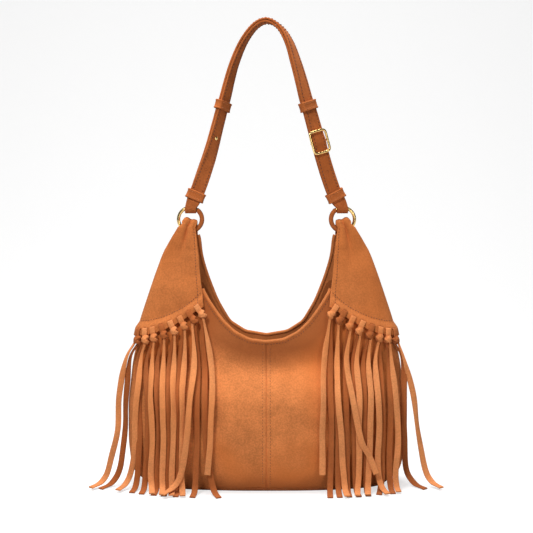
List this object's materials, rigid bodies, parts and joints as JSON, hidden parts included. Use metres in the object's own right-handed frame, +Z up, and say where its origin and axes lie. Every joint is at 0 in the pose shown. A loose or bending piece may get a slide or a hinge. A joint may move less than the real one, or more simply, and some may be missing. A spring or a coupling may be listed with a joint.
{
  "type": "shoulder bag",
  "caption": "Soft slouched suede shoulder bag with an open scooped mouth, knotted fringe, brass rings and a doubled strap with a slide.",
  "frame": {"origin": "middle of the underside of the base, on the surface the bag stands on", "axes": "X across the bag, -Y towards its front, +Z up along the strap"},
  "size_m": [0.4524, 0.1545, 0.6036],
  "materials": {
    "suede_body": "napped suede, tan",
    "suede_fringe": "napped suede, tan",
    "suede_strap": "napped suede, darker tan",
    "brass": "polished"
  },
  "bodies": {
    "bag": {"front_panel_left": "suede_body", "front_panel_right": "suede_body", "back_panel": "suede_body", "base_panel": "suede_body", "front_rim_binding": "suede_body", "back_rim_binding": "suede_body", "yoke_left": "suede_body", "yoke_right": "suede_body", "thong_left_1": "suede_fringe", "thong_left_2": "suede_fringe", "thong_left_3": "suede_fringe", "thong_left_4": "suede_fringe", "thong_left_5": "suede_fringe", "thong_left_6": "suede_fringe", "thong_left_7": "suede_fringe", "thong_left_8": "suede_fringe", "thong_right_1": "suede_fringe", "thong_right_2": "suede_fringe", "thong_right_3": "suede_fringe", "thong_right_4": "suede_fringe", "thong_right_5": "suede_fringe", "thong_right_6": "suede_fringe", "thong_right_7": "suede_fringe", "thong_right_8": "suede_fringe"},
    "ring_left": {"ring_left": "brass", "ring_wrap_left": "suede_strap"},
    "ring_right": {"ring_right": "brass", "ring_wrap_right": "suede_strap"},
    "strap": {"strap_outer": "suede_strap", "strap_inner": "suede_strap", "ball_stud": "brass", "strap_rivet": "brass", "slide_frame": "brass"},
    "keeper_upper_left": {"keeper_upper_left": "suede_strap"},
    "keeper_lower_left": {"keeper_lower_left": "suede_strap"},
    "keeper_upper_right": {"keeper_upper_right": "suede_strap"},
    "keeper_lower_right": {"keeper_lower_right": "suede_strap"}
  },
  "joints": [
    {"name": "ring_left_swing", "type": "hinge", "parent": "bag", "child": "ring_left", "pos_m": [-0.099, 0, 0.332], "axis": [1, 0, 0], "range_deg": [-36, 36]},
    {"name": "ring_right_swing", "type": "hinge", "parent": "bag", "child": "ring_right", "pos_m": [0.099, 0, 0.332], "axis": [1, 0, 0], "range_deg": [-36, 36]},
    {"name": "strap_swing", "type": "hinge", "parent": "ring_left", "child": "strap", "pos_m": [-0.0985, 0, 0.3598], "axis": [1, 0, 0], "range_deg": [-45, 45]},
    {"name": "keeper_upper_left_slide", "type": "slide", "parent": "strap", "child": "keeper_upper_left", "axis": [0.2674, 0.0502, 0.9623], "range_m": [-0.004, 0.004]},
    {"name": "keeper_lower_left_slide", "type": "slide", "parent": "strap", "child": "keeper_lower_left", "axis": [0.3812, 0.0507, 0.9231], "range_m": [0, 0.006]},
    {"name": "keeper_upper_right_slide", "type": "slide", "parent": "strap", "child": "keeper_upper_right", "axis": [0.307, 0.0576, -0.95], "range_m": [-0.004, 0.004]},
    {"name": "keeper_lower_right_slide", "type": "slide", "parent": "strap", "child": "keeper_lower_right", "axis": [0.4595, 0.075, -0.885], "range_m": [-0.002, 0]}
  ],
  "couplings": [
    {"joint": "ring_right_swing", "follows": "ring_left_swing", "ratio": 1}
  ]
}
